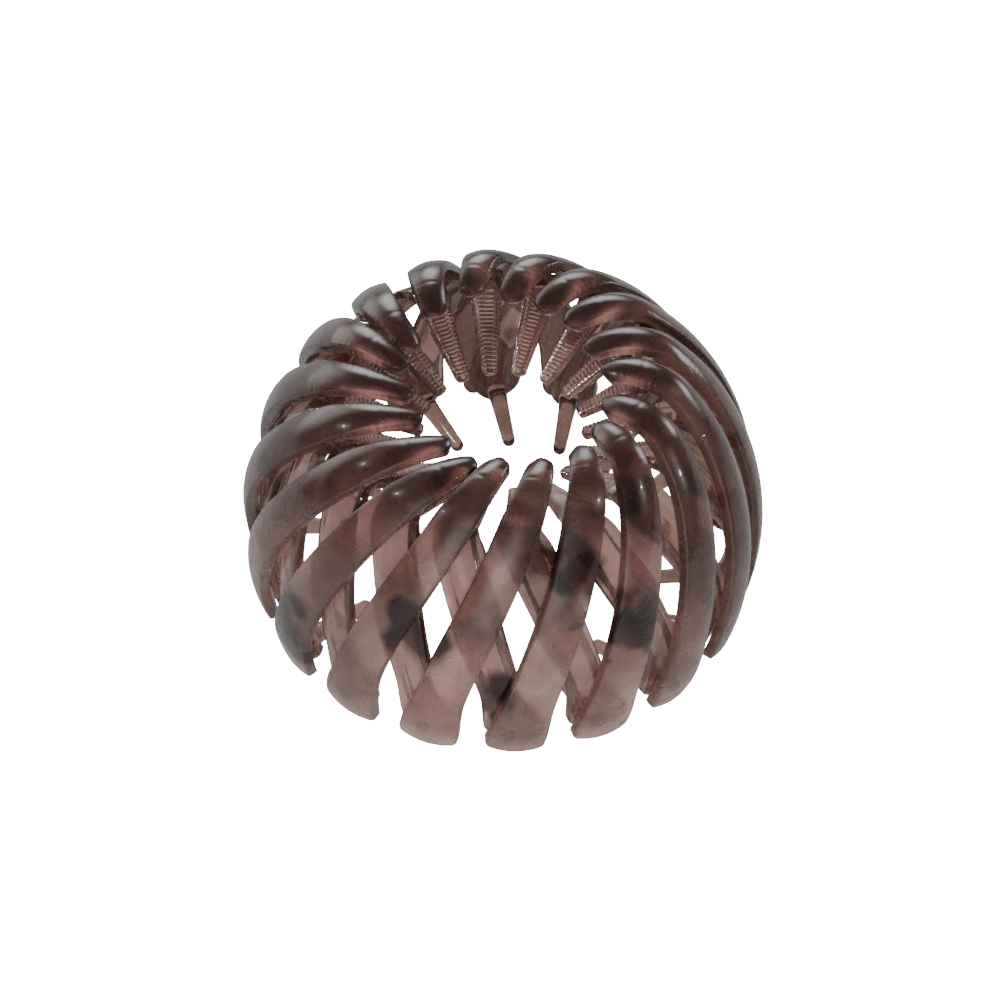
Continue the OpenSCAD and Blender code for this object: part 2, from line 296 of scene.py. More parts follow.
@dataclass
class OuterBlade(Bar):
    """The outer vane: a rounded foot, a long curved blade with a crowned face, and a round tip.

    Args:
        thick: Thickness from the crown to the inner face.
        crown: Drop from the crown to the long edges.
        shoulder: Dome angle where the arch over the top begins.
        arch_r: Radius of that arch.
        end_angle: Angle where the arch ends, in the tip.
        sweep_deg: Turn round the ring from the foot to the tip.
        even_lean: Share of the turn that grows evenly, the rest grows with the square.
        foot_turn: Turn of the foot from its pivot.
        foot_corner: Rounding of the foot's lower corners.
        edge_r: Rounding of the long edges of the outer face.
        face_r: Rounding of the facets of its crown.
        back_edge_r: Rounding of the long edges of the inner face.
        foot_end_r: Rounding of the foot's end wall.
        tip_end_r: Rounding of the tip's end wall.
        foot_w: Width at the foot pivot.
        low_w: Width a little higher, at low_at.
        mid_w: Width at mid_share of the dome's length.
        shoulder_w: Width where the arch begins.
        tip_w: Width at the tip, whose end is a half circle.
        low_at: Place of low_w along the path.
        mid_share: Place of mid_w, as a share of the dome's length.
        foot_run: How far the foot reaches below its pivot.
        lean_in: How far the tip has bent in towards the axis.
        slip: How many degrees the tip has slipped round the ring.
        free_from: Place along the path above which the blade is free to bend.
        ripple_h: Depth of the fine notches along the side walls.
        ripple_pitch: Distance from one notch to the next.
        ripple_from: Where the notches begin to show, as a share of the dome's length.
        ripple_fade: Length over which they grow.
        plain_tip: Length before the tip that has none.
        crease_h: Depth of the faint crease across the face.
        crease_w: Half the width of that crease.
        crease_back: How far before the tip it lies.
        face_points: Points across the crowned face.
        even_share: Share of an even spacing in the spacing of the sections.
        both_share: Share of a spacing that crowds both ends.
        tip_share: Share of one that crowds the tip.
    """

    thick: float = 2.2
    crown: float = 0.7
    shoulder: float = 45.0
    arch_r: float = 9.0
    end_angle: float = 125.0
    sweep_deg: float = 34.5
    even_lean: float = 0.42
    foot_turn: float = 1.5
    foot_corner: float = 2.2
    edge_r: float = 0.4
    face_r: float = 2.0
    back_edge_r: float = 0.25
    foot_end_r: float = 0.95
    tip_end_r: float = 0.6
    foot_w: float = 8.7
    low_w: float = 7.2
    mid_w: float = 6.4
    shoulder_w: float = 5.8
    tip_w: float = 3.5
    low_at: float = 7.0
    mid_share: float = 0.7
    foot_run: float = 4.6
    lean_in: float = 0.0
    slip: float = 0.0
    free_from: float = 26.6
    ripple_h: float = 0.05
    ripple_pitch: float = 0.9
    ripple_from: float = 0.62
    ripple_fade: float = 6.0
    plain_tip: float = 2.0
    crease_h: float = 0.05
    crease_w: float = 0.35
    crease_back: float = 5.6
    face_points: int = 9
    even_share: float = 0.45
    both_share: float = 0.15
    tip_share: float = 0.40

    def __post_init__(self) -> None:
        """Lengths of the path along the dome and the arch."""
        self.dome_len = np.radians(self.shoulder - self.ring.foot_angle) * self.ring.dome_r
        self.length = self.dome_len + np.radians(self.end_angle - self.shoulder) * self.arch_r

    def angle(self, s: np.ndarray) -> np.ndarray:
        """Rises by s / R on the dome, then by s / r on the arch.

        Args:
            s: Places along the path.

        Returns:
            Angle of the outward normal above level, in degrees.
        """
        dome = self.ring.foot_angle + np.degrees(s / self.ring.dome_r)
        arch = self.shoulder + np.degrees((s - self.dome_len) / self.arch_r)
        return np.where(s < self.dome_len, dome, arch)

    def meridian(self, s: np.ndarray) -> tuple[np.ndarray, np.ndarray]:
        """A circle of the dome's radius about the waist, then one of the arch's radius that meets it.

        Args:
            s: Places along the path.

        Returns:
            Radius from the axis, less the tip's lean, and height.
        """
        a, b = np.radians(self.angle(s)), np.radians(self.shoulder)
        r = np.where(s < self.dome_len, self.ring.dome_r, self.arch_r)
        centre = self.ring.dome_r - r
        away = centre * np.cos(b) + r * np.cos(a) - self.lean_in * self.bent(s)
        return away, self.ring.waist_z + centre * np.sin(b) + r * np.sin(a)

    def bent(self, s: np.ndarray) -> np.ndarray:
        """Share of the tip's bend at s: the square of the way from free_from to the tip."""
        return (np.maximum(0.0, s - self.free_from) / (self.length - self.free_from)) ** 2

    def turn(self, s: np.ndarray) -> np.ndarray:
        """The foot's turn, the sweep times e t + (1 - e) t^2, with t = s / length, and the tip's slip.

        Args:
            s: Places along the path.

        Returns:
            Turn round the ring, in degrees.
        """
        t = s / self.length
        sweep = self.sweep_deg * (self.even_lean * t + (1 - self.even_lean) * t * t)
        return self.foot_turn + sweep + self.slip * self.bent(s)

    def places(self) -> np.ndarray:
        """Places of the sections, closer together at the two ends.

        With t from 0 to pi, the even spacing is t / pi, the one that crowds both ends is (1 - cos t) / 2 and
        the one that crowds the tip is sin(t / 2).

        Returns:
            Places along the path, from the foot's end to the tip.
        """
        t = np.linspace(0.0, np.pi, self.rows)
        even, both_ends, tip_end = t / np.pi, (1 - np.cos(t)) / 2, np.sin(t / 2)
        share = self.even_share * even + self.both_share * both_ends + self.tip_share * tip_end
        return -self.foot_run + share * (self.length + self.foot_run)

    def half_width(self, s: np.ndarray) -> np.ndarray:
        """The table of widths, halved, less the notches, the foot's corners and the tip's round end.

        A notch is h (1 - |sin(pi s / pitch)|), times how far the notches have grown at s.

        Args:
            s: Places along the path.

        Returns:
            Half the width at each place.
        """
        rows = np.array([
            [0.0, self.foot_w], [self.low_at, self.low_w], [self.mid_share * self.dome_len, self.mid_w],
            [self.dome_len, self.shoulder_w], [self.length, self.tip_w]])
        body = smooth_table(s, rows[:, 0], rows[:, 1]) / 2
        grown = ease((s - self.dome_len * self.ripple_from) / self.ripple_fade)
        grown = grown * ease(self.length - self.plain_tip - s)
        notch = self.ripple_h * grown * (1 - np.abs(np.sin(np.pi * s / self.ripple_pitch)))
        return (body - notch + corner(s + self.foot_run, self.foot_corner)
                + corner(self.length - s, self.tip_w / 2))

    def outline(self, s: np.ndarray) -> np.ndarray:
        """Crowned section with a flat inner face, its two ends thinned to round the end walls.

        The crown is a parabola through the two edges. Near either end, both faces draw in by what a round
        corner takes off there. The crease deepens the crown by h exp(-(d / w)^2) at distance d from it.

        Args:
            s: Places along the path.

        Returns:
            Outlines of [across, depth], shaped (rows, columns, 2).
        """
        w = np.maximum(self.half_width(s), LEAST_HALF_WIDTH)[:, None]
        foot, tip = corner(s + self.foot_run, self.foot_end_r), corner(self.length - s, self.tip_end_r)
        draw = -(foot + tip)[:, None]
        x = np.linspace(-1.0, 1.0, self.face_points)[None, :]
        top = self.crown * x**2 + draw + np.zeros_like(w)
        from_crease = (s - self.length + self.crease_back) / self.crease_w
        top = top + self.crease_h * np.exp(-(from_crease**2))[:, None] * (1 - x**2)
        face = np.stack([w * x, top], axis=-1)
        back = np.stack([np.concatenate([w, -w], axis=1), self.thick - np.repeat(draw, 2, axis=1)], axis=-1)
        facets = [self.face_r] * (self.face_points - 2)
        radii = np.array([self.edge_r, *facets, self.edge_r, self.back_edge_r, self.back_edge_r])
        return rounded_outline(np.concatenate([face, back], axis=1), radii)

    def skin(self) -> Skin:
        """The blade's surface, for the unit whose foot pivot is at the front."""
        s = self.places()
        return Skin(self.sweep(s, self.outline(s)))


@dataclass
class InnerStrip(Bar):
    """The strip behind the blades: a foot disc, a ribbed strip, a bend and a ridged comb tooth.

    Args:
        rows: One more than the sections along the path.
        face_depth: Depth of its outer face below the blades' outer face.
        thick: Thickness of the flat strip.
        rib_w: Width of the rib on the inner face.
        rib_h: Height of that rib.
        rib_share: The most of the strip's half width that the rib takes.
        rib_spread: How much wider the rib is where it meets the strip.
        rib_r: Rounding of the rib.
        shelf_share: Thickness beside the rib at the tooth's end, as a share of the tooth's own there.
        edge_r: Rounding of the long edges of the outer face.
        middle_r: Rounding of the middle of that face.
        shelf_r: Rounding of the long edges of the inner face.
        end_r: Rounding of the faces at the two ends.
        sweep_deg: Turn back round the ring by the time it bends.
        even_lean: Share of the turn that grows evenly.
        bend_angle: Dome angle where it turns inward.
        bend_r: Radius of the bend.
        tooth_fall: Fall of the tooth below level.
        tooth_turn: Turn of the tooth from the radius.
        ring_r: Radius of the circle that the teeth leave open.
        foot_w: Width of the round foot.
        low_w: Width a little higher, at low_at.
        top_w: Width where it bends.
        root_w: Width at the tooth's root.
        end_w: Width at the tooth's end.
        end_t: Thickness at the tooth's end.
        tooth_end_r: Rounding of the tooth's end corners.
        low_at: Place of low_w along the path.
        ridge_pitch: Distance from one ridge to the next.
        ridge_h: Height of the ridges.
        ridge_side: How far the grooves cut into the tooth's sides.
        ridge_lead: How far before the tooth's root the ridges begin.
        ridge_fade: Length over which they grow.
        ridge_stop: How far before the tooth's end they stop.
        ridge_stop_fade: Length over which they stop.
        foot_rows: Sections in the lower half of the foot.
        climb_rows: Sections from the foot pivot to the tooth's root.
    """

    rows: int = 330
    face_depth: float = 2.6
    thick: float = 1.3
    rib_w: float = 3.0
    rib_h: float = 1.2
    rib_share: float = 0.72
    rib_spread: float = 1.6
    rib_r: float = 1.4
    shelf_share: float = 0.6
    edge_r: float = 0.5
    middle_r: float = 1.0
    shelf_r: float = 0.25
    end_r: float = 0.45
    sweep_deg: float = 14.5
    even_lean: float = 0.6
    bend_angle: float = 38.0
    bend_r: float = 4.5
    tooth_fall: float = 27.0
    tooth_turn: float = 4.0
    ring_r: float = 11.1
    foot_w: float = 8.2
    low_w: float = 6.0
    top_w: float = 7.2
    root_w: float = 4.4
    end_w: float = 1.9
    end_t: float = 1.5
    tooth_end_r: float = 0.8
    low_at: float = 7.0
    ridge_pitch: float = 0.62
    ridge_h: float = 0.12
    ridge_side: float = 0.10
    ridge_lead: float = 1.5
    ridge_fade: float = 1.2
    ridge_stop: float = 0.35
    ridge_stop_fade: float = 0.3
    foot_rows: int = 14
    climb_rows: int = 90

    def __post_init__(self) -> None:
        """Lengths of the climb, the bend and the tooth."""
        self.face_r = self.ring.dome_r - self.face_depth
        self.climb = np.radians(self.bend_angle - self.ring.foot_angle) * self.face_r
        self.tooth_angle = 90.0 + self.tooth_fall
        self.bend = np.radians(self.tooth_angle - self.bend_angle) * self.bend_r
        a, b = np.radians(self.tooth_angle), np.radians(self.bend_angle)
        self.bend_end = (self.face_r - self.bend_r) * np.cos(b) + self.bend_r * np.cos(a)
        self.tooth = (self.bend_end - self.ring_r) / np.cos(np.radians(self.tooth_fall))
        self.length = self.climb + self.bend + self.tooth

    def angle(self, s: np.ndarray) -> np.ndarray:
        """Rises by s / R on the climb and by s / r round the bend, then keeps the tooth's angle.

        Args:
            s: Places along the path.

        Returns:
            Angle of the outward normal above level, in degrees.
        """
        climb = self.ring.foot_angle + np.degrees(s / self.face_r)
        bend = self.bend_angle + np.degrees((s - self.climb) / self.bend_r)
        return np.where(s < self.climb, climb, np.minimum(bend, self.tooth_angle))

    def meridian(self, s: np.ndarray) -> tuple[np.ndarray, np.ndarray]:
        """A circle of the strips' radius, a smaller one that meets it, and a straight fall.

        Args:
            s: Places along the path.

        Returns:
            Radius from the axis and height.
        """
        a, b = np.radians(self.angle(s)), np.radians(self.bend_angle)
        r = np.where(s < self.climb, self.face_r, self.bend_r)
        centre = self.face_r - r
        past = np.maximum(0.0, s - self.climb - self.bend)
        fall = np.radians(self.tooth_fall)
        return (centre * np.cos(b) + r * np.cos(a) - past * np.cos(fall),
                self.ring.waist_z + centre * np.sin(b) + r * np.sin(a) - past * np.sin(fall))

    def turn(self, s: np.ndarray) -> np.ndarray:
        """Back by the sweep on the climb, easing through the bend into the tooth's own straight turn.

        On the climb it is the sweep times e t + (1 - e) t^2. On the tooth, which is straight from above, it
        grows by tan(turn) ln(R / r), where r is the radius from the axis.

        Args:
            s: Places along the path.

        Returns:
            Turn round the ring, in degrees.
        """
        t = s / self.climb
        climb = -self.sweep_deg * (self.even_lean * t + (1 - self.even_lean) * t * t)
        into = -self.sweep_deg * (2 - self.even_lean) * self.bend / self.climb
        out = np.degrees(np.tan(np.radians(self.tooth_turn)) * self.bend / self.bend_end)
        b = np.clip((s - self.climb) / self.bend, 0.0, 1.0)
        bend = -self.sweep_deg + into * b + (out - into) / 2 * b * b
        r = np.minimum(self.meridian(s)[0], self.bend_end)
        tooth = np.degrees(np.tan(np.radians(self.tooth_turn)) * np.log(self.bend_end / r))
        after = np.where(s > self.climb + self.bend, tooth, 0.0)
        return np.where(s < self.climb, climb, bend + after)

    def places(self) -> np.ndarray:
        """Places of the sections: even, but close together at the foot's end and along the tooth.

        Returns:
            Places along the path, from the foot's end to the tooth's.
        """
        foot = -self.foot_w / 2 + self.foot_w / 2 * (1 - np.cos(np.linspace(0.0, np.pi / 2, self.foot_rows)))
        start = self.climb + self.bend
        climb = np.linspace(0.0, start, self.climb_rows)[1:]
        tooth = np.linspace(start, self.length, self.rows - self.foot_rows - self.climb_rows + 1)[1:]
        return np.concatenate([foot, climb, tooth])

    def half_width(self, s: np.ndarray) -> np.ndarray:
        """The table of widths, halved, less the foot's round end and the tooth's end corners.

        Args:
            s: Places along the path.

        Returns:
            Half the width at each place.
        """
        rows = np.array([
            [0.0, self.foot_w], [self.low_at, self.low_w], [self.climb, self.top_w],
            [self.climb + self.bend, self.root_w], [self.length, self.end_w]])
        body = smooth_table(s, rows[:, 0], rows[:, 1]) / 2
        foot_r = self.foot_w / 2
        return body + corner(s + foot_r, foot_r) + corner(self.length - s, self.tooth_end_r)

    def ridges(self, s: np.ndarray) -> np.ndarray:
        """How far the ridges have dipped: 1 - |sin(pi s / pitch)| on the tooth.

        Args:
            s: Places along the path.

        Returns:
            1 in a groove, 0 on a crest and off the tooth.
        """
        start = self.climb + self.bend - self.ridge_lead
        on = ease((s - start) / self.ridge_fade)
        on = on * ease((self.length - self.ridge_stop - s) / self.ridge_stop_fade)
        wave = np.abs(np.sin(np.pi * (s - start) / self.ridge_pitch))
        return on * (1 - wave)

    def outline(self, s: np.ndarray) -> np.ndarray:
        """A flat strip with a rib below it, thinning along the tooth, with grooves across the tooth.

        Its corners run across the outer face, down one side, round the rib and back up the other side.

        Args:
            s: Places along the path.

        Returns:
            Outlines of [across, depth], shaped (rows, columns, 2).
        """
        w = np.maximum(self.half_width(s), LEAST_HALF_WIDTH)[:, None]
        t = np.clip((s - self.climb - self.bend) / self.tooth, 0.0, 1.0)[:, None]
        end = np.minimum(s + self.foot_w / 2, self.length - s)
        draw = -corner(end, self.end_r)[:, None]
        dip = self.ridges(s)[:, None]
        w = w - self.ridge_side * dip
        deep = (self.thick + self.rib_h) * (1 - t) + self.end_t * t
        shelf = self.thick * (1 - t) + self.shelf_share * self.end_t * t
        top = np.minimum(self.rib_w / 2, self.rib_share * w)
        base = self.rib_spread * top
        high = draw + self.ridge_h * dip
        low, rib = shelf - draw, deep - draw
        x = np.concatenate([-w, 0 * w, w, w, base, top, -top, -base, -w], axis=1)
        d = np.concatenate([high, high, high, low, shelf, rib, rib, shelf, low], axis=1)
        rib_radii = [self.rib_r] * 4
        radii = np.array([self.edge_r, self.middle_r, self.edge_r, self.shelf_r, *rib_radii, self.shelf_r])
        return rounded_outline(np.stack([x, d], axis=-1), radii)

    def skin(self) -> Skin:
        """The strip's surface, for the unit whose foot pivot is at the front."""
        s = self.places()
        return Skin(self.sweep(s, self.outline(s)))


@dataclass(frozen=True)
class Prong:
    """The smooth tapered prong at a strip's foot.

    Args:
        root_r: Radius where it leaves the rib.
        end_r: Radius of its round end.
        ring_r: Radius of the circle that the prongs leave open.
        root_z: Height of its axis at the root.
        end_z: Height of its axis at the end.
        turn: Turn round the ring at the end.
        flare: How much wider it is where it meets the rib.
        flare_from: Length from its root over which the flare stays full.
        flare_fall: Length over which it then falls away.
        past_face: How far past the strip's flat inner face its root lies, inside the rib.
        body_rows: Sections along its body.
        cap_rows: Sections round its end.
        columns: Points round a section.
        short: How far the last section stays short of the very end.
    """

    root_r: float = 1.45
    end_r: float = 0.95
    ring_r: float = 21.7
    root_z: float = 3.1
    end_z: float = 2.0
    turn: float = 5.0
    flare: float = 0.18
    flare_from: float = 2.2
    flare_fall: float = 1.2
    past_face: float = 0.3
    body_rows: int = 30
    cap_rows: int = 9
    columns: int = 32
    short: float = 0.002

    def skin(self, ring: Ring, strip: InnerStrip) -> Skin:
        """A tapered tube from inside the rib to a round end.

        Its radius is the taper's plus flare exp(-t / flare_fall), where t is the length past flare_from. On
        the last stretch, as long as end_r, it is multiplied by sqrt(1 - u^2), with u from 0 to 1.

        Args:
            ring: Sizes that all units share.
            strip: The strip that carries it.

        Returns:
            The surface, for the unit whose foot pivot is at the front.
        """
        root_r = strip.face_r - strip.thick - self.past_face
        root = ring.on_ring(np.array(root_r), np.array(self.root_z), np.array(0.0))
        end = ring.on_ring(np.array(self.ring_r), np.array(self.end_z), np.array(-self.turn))
        run = np.linalg.norm(end - root)
        ahead = (end - root) / run
        side = unit(np.cross(ahead, [0.0, 0.0, 1.0]))
        up = np.cross(side, ahead)
        cap_from = run - self.end_r
        body = np.linspace(0.0, cap_from, self.body_rows)
        cap = cap_from + self.end_r * np.sin(np.linspace(0.0, np.pi / 2, self.cap_rows))[1:-1]
        s = np.concatenate([body, cap, [run - self.short]])
        share = s / run
        past = np.maximum(0.0, s - self.flare_from)
        r = self.root_r * (1 - share) + self.end_r * share + self.flare * np.exp(-past / self.flare_fall)
        u = np.clip((s - cap_from) / self.end_r, 0.0, 1.0)
        r = r * np.sqrt(1 - u**2)
        a = np.linspace(0.0, 2 * np.pi, self.columns, endpoint=False)
        circle = np.cos(a)[None, :, None] * side + np.sin(a)[None, :, None] * up
        return Skin(root + ahead * s[:, None, None] + circle * r[:, None, None])


@dataclass(frozen=True)
class Stud:
    """A round peg square to the dome, between two depths below the blades' outer face.

    Args:
        radius: Its radius.
        deep: Depth of its root.
        shallow: Depth of its end.
        columns: Points round it.
    """

    radius: float
    deep: float
    shallow: float
    columns: int = 40

    def skin(self, ring: Ring, dome_angle: float, turn: float) -> Skin:
        """A cylinder about the dome's normal.

        Args:
            ring: Sizes that all units share.
            dome_angle: Angle of that normal above level.
            turn: Its turn round the ring.

        Returns:
            The surface.
        """
        a, b = np.radians(dome_angle), np.radians(turn)
        out = ring.on_ring(np.array(np.cos(a)), np.array(np.sin(a)), np.array(turn))
        side = np.array([np.cos(b), np.sin(b), 0.0])
        up = np.cross(out, side)
        base = np.array([0.0, 0.0, ring.waist_z])
        depth = np.array([self.deep, self.shallow])
        t = np.linspace(0.0, 2 * np.pi, self.columns, endpoint=False)
        circle = np.cos(t)[None, :, None] * side + np.sin(t)[None, :, None] * up
        return Skin(base + out * (ring.dome_r - depth)[:, None, None] + circle * self.radius)


def group_socket(tree: bpy.types.NodeTree, name: str, kind: str, output: bool = False,
                 value: object = None) -> None:
    """Adds a named input or output to a node group.

    Args:
        tree: The group.
        name: The socket's name.
        kind: Its Blender type name.
        output: True for an output.
        value: Its default, if it has one.
    """
    made = tree.interface.new_socket(name=name, in_out="OUTPUT" if output else "INPUT", socket_type=kind)
    if value is not None:
        made.default_value = value


class NodeMaker:
    """Adds and links nodes in one tree."""

    def __init__(self, tree: bpy.types.NodeTree) -> None:
        """Keeps the tree."""
        self.tree = tree

    def add(self, kind: str, settings: dict | None = None, **inputs: object) -> bpy.types.Node:
        """Adds a node and fills its inputs.

        Args:
            kind: The node's Blender type name.
            settings: Attributes of the node itself.
            inputs: Values or sockets, by input name with spaces written as _, or i0, i1 for an input's place.

        Returns:
            The new node.
        """
        node = self.tree.nodes.new(kind)
        for key, value in (settings or {}).items():
            setattr(node, key, value)
        for key, value in inputs.items():
            numbered = key[0] == "i" and key[1:].isdigit()
            socket = node.inputs[int(key[1:]) if numbered else key.replace("_", " ")]
            if isinstance(value, Socket):
                self.tree.links.new(value, socket)
            else:
                socket.default_value = value
        return node

    def math(self, operation: str, a: Socket | float, b: Socket | float) -> Socket:
        """One sum, product or other operation on two numbers."""
        return self.add("ShaderNodeMath", {"operation": operation}, i0=a, i1=b).outputs[0]

    def remap(self, value: Socket, low: float, high: float, to_low: float = 0.0,
              to_high: float = 1.0) -> Socket:
        """A number carried smoothly from one range to another.

        Args:
            value: The number.
            low: Start of the first range.
            high: End of the first range.
            to_low: Start of the second range.
            to_high: End of the second range.

        Returns:
            The number in the second range, never outside it.
        """
        node = self.add("ShaderNodeMapRange", {"interpolation_type": "SMOOTHSTEP"}, i0=value, i1=low, i2=high,
                        i3=to_low, i4=to_high)
        return node.outputs[0]

    def weighted(self, *parts: tuple[Socket, float]) -> Socket:
        """The sum of some values, each times its weight.

        Args:
            parts: Pairs of a value and its weight.

        Returns:
            The sum.
        """
        products = [self.math("MULTIPLY", value, weight) for value, weight in parts]
        total = products[0]
        for product in products[1:]:
            total = self.math("ADD", total, product)
        return total

    def distance(self, a: Socket, b: tuple[float, float, float]) -> Socket:
        """How far one place lies from another."""
        return self.add("ShaderNodeVectorMath", {"operation": "DISTANCE"}, i0=a, i1=b).outputs[1]

    def mix(self, share: Socket, a: Socket | Colour, b: Socket | Colour) -> Socket:
        """A blend of two colours.

        Args:
            share: Share of the second colour.
            a: The first colour.
            b: The second colour.

        Returns:
            The blend.
        """
        node = self.add("ShaderNodeMix", {"data_type": "RGBA"})
        for socket, value in ((node.inputs[0], share), (node.inputs[6], a), (node.inputs[7], b)):
            if isinstance(value, Socket):
                self.tree.links.new(value, socket)
            else:
                socket.default_value = value
        return node.outputs[2]


@dataclass(frozen=True)
class Noise:
    """Soft noise in the plastic.

    Args:
        cells: Its cells in a metre.
        detail: Its finer octaves.
        roughness: Strength of each octave against the one before.
    """

    cells: float
    detail: float
    roughness: float

    def at(self, make: NodeMaker, place: Socket) -> Socket:
        """The noise at a place, about NOISE_MIDDLE on average.

        Args:
            make: The tree's maker of nodes.
            place: The place.

        Returns:
            The noise.
        """
        node = make.add("ShaderNodeTexNoise", Vector=place, Scale=self.cells, Detail=self.detail,
                        Roughness=self.roughness)
        return node.outputs[0]


@dataclass(frozen=True)
class Blotch:
    """One dark cloud in the plastic.

    Args:
        place: Its middle, in millimetres.
        size: Its radius, in millimetres.
        depth: How dark it is, from 0 to 1.
    """

    place: tuple[float, float, float]
    size: float
    depth: float


@dataclass(frozen=True)
class Clouds:
    """Smoky clouds in the plastic, which every finish shares.

    Args:
        blotches: The larger dark patches.
        broad: The broad noise.
        fine: The fine noise.
        broad_share: Share of the broad noise in a cloud. The rest is fine noise.
        cloud_span: Noise at which a cloud begins, and at which it is full.
        front: Distance in front of the axis from which the painted shade counts, in metres.
        back_part: What the painted shade gains for each metre back.
        right_part: What the painted shade gains for each metre to the right.
        up_part: What the painted shade gains for each metre up.
        wave_part: How far the broad noise makes the painted shade waver, in metres.
        rise_span: Sum at which the painted shade begins, and at which it is full.
        fine_pull: How far the fine noise pulls the edge of a patch, in radii of the patch.
        broad_pull: How far the broad noise pulls it.
        edge_span: Minus the distance, in radii, at which a patch begins, and at which it is full.
        grain_span: Fine noise at which a dark grain begins, and at which it is full.
    """

    blotches: tuple[Blotch, ...]
    broad: Noise = Noise(cells=55.0, detail=1.0, roughness=0.55)
    fine: Noise = Noise(cells=190.0, detail=1.5, roughness=0.6)
    broad_share: float = 0.55
    cloud_span: tuple[float, float] = (0.38, 0.62)
    front: float = 0.036
    back_part: float = 0.65
    right_part: float = 0.15
    up_part: float = 0.5
    wave_part: float = 0.012
    rise_span: tuple[float, float] = (0.008, 0.032)
    fine_pull: float = 1.9
    broad_pull: float = 3.0
    edge_span: tuple[float, float] = (-1.25, -0.6)
    grain_span: tuple[float, float] = (0.70, 0.76)

    def group(self) -> bpy.types.ShaderNodeTree:
        """The clouds as a node group with the input Scale and five outputs.

        Cloud is soft noise at two sizes. The painted shade output grows from the front feet to the top and
        the back.
        Blotch is 1 inside the dark patches. Speck is 1 in small dark grains. Ripple is the fine noise, for
        the height of the skin, which is a little uneven where the plastic is cloudy.

        Returns:
            The node group.
        """
        tree = bpy.data.node_groups.new("smoky_clouds", "ShaderNodeTree")
        group_socket(tree, "Scale", "NodeSocketFloat", value=1.0)
        make = NodeMaker(tree)
        scale = tree.nodes.new("NodeGroupInput").outputs["Scale"]
        place = make.add("ShaderNodeTexCoord").outputs["Object"]
        scaled = make.add("ShaderNodeVectorMath", {"operation": "SCALE"}, i0=place, i3=scale).outputs[0]
        broad, fine = self.broad.at(make, scaled), self.fine.at(make, scaled)
        cloud = make.weighted((broad, self.broad_share), (fine, 1.0 - self.broad_share))
        outputs = {
            "Cloud": make.remap(cloud, *self.cloud_span),
            # Painted shade: darker towards the top and the back, and a little to the right.
            "PaintedShade": self.painted_shade(make, place, broad),
            "Blotch": self.patches(make, place, broad, fine),
            "Speck": make.remap(fine, *self.grain_span),
            "Ripple": fine,
        }
        for name in outputs:
            group_socket(tree, name, "NodeSocketFloat", output=True)
        outlet = tree.nodes.new("NodeGroupOutput")
        for name, value in outputs.items():
            tree.links.new(value, outlet.inputs[name])
        return tree

    def painted_shade(self, make: NodeMaker, place: Socket, broad: Socket) -> Socket:
        """Painted shade, from 0 at the front feet to 1 towards the top and the back, and a little to the
        right.

        Args:
            make: Maker of the group's nodes.
            place: Object coordinates.
            broad: The broad noise, which makes it waver.

        Returns:
            The height, the way back, the way right and the noise, each times its part, carried to 0 to 1.
        """
        split = make.add("ShaderNodeSeparateXYZ", i0=place)
        back = make.math("ADD", split.outputs[1], self.front)
        wave = make.math("SUBTRACT", broad, NOISE_MIDDLE)
        total = make.weighted((back, self.back_part), (split.outputs[0], self.right_part),
                              (split.outputs[2], self.up_part), (wave, self.wave_part))
        return make.remap(total, *self.rise_span)

    def patches(self, make: NodeMaker, place: Socket, broad: Socket, fine: Socket) -> Socket:
        """The dark patches: -distance / size, less noise that pulls their edges about.

        The patches of one depth are joined by the greatest value, and so are the depths.

        Args:
            make: Maker of the group's nodes.
            place: Object coordinates.
            broad: The broad noise.
            fine: The fine noise.

        Returns:
            How dark it is, from 0 to 1.
        """
        pull = make.weighted((make.math("SUBTRACT", fine, NOISE_MIDDLE), self.fine_pull),
                             (make.math("SUBTRACT", broad, NOISE_MIDDLE), self.broad_pull))
        total: Socket | float = 0.0
        for depth in sorted({blotch.depth for blotch in self.blotches}):
            near: Socket | float = FAR_AWAY
            for blotch in (b for b in self.blotches if b.depth == depth):
                middle = tuple(c * MM for c in blotch.place)
                inside = make.math("MULTIPLY", make.distance(place, middle), -1.0 / (blotch.size * MM))
                near = make.math("MAXIMUM", near, inside)
            near = make.math("SUBTRACT", near, pull)
            total = make.math("MAXIMUM", total, make.remap(near, *self.edge_span, 0.0, depth))
        return total


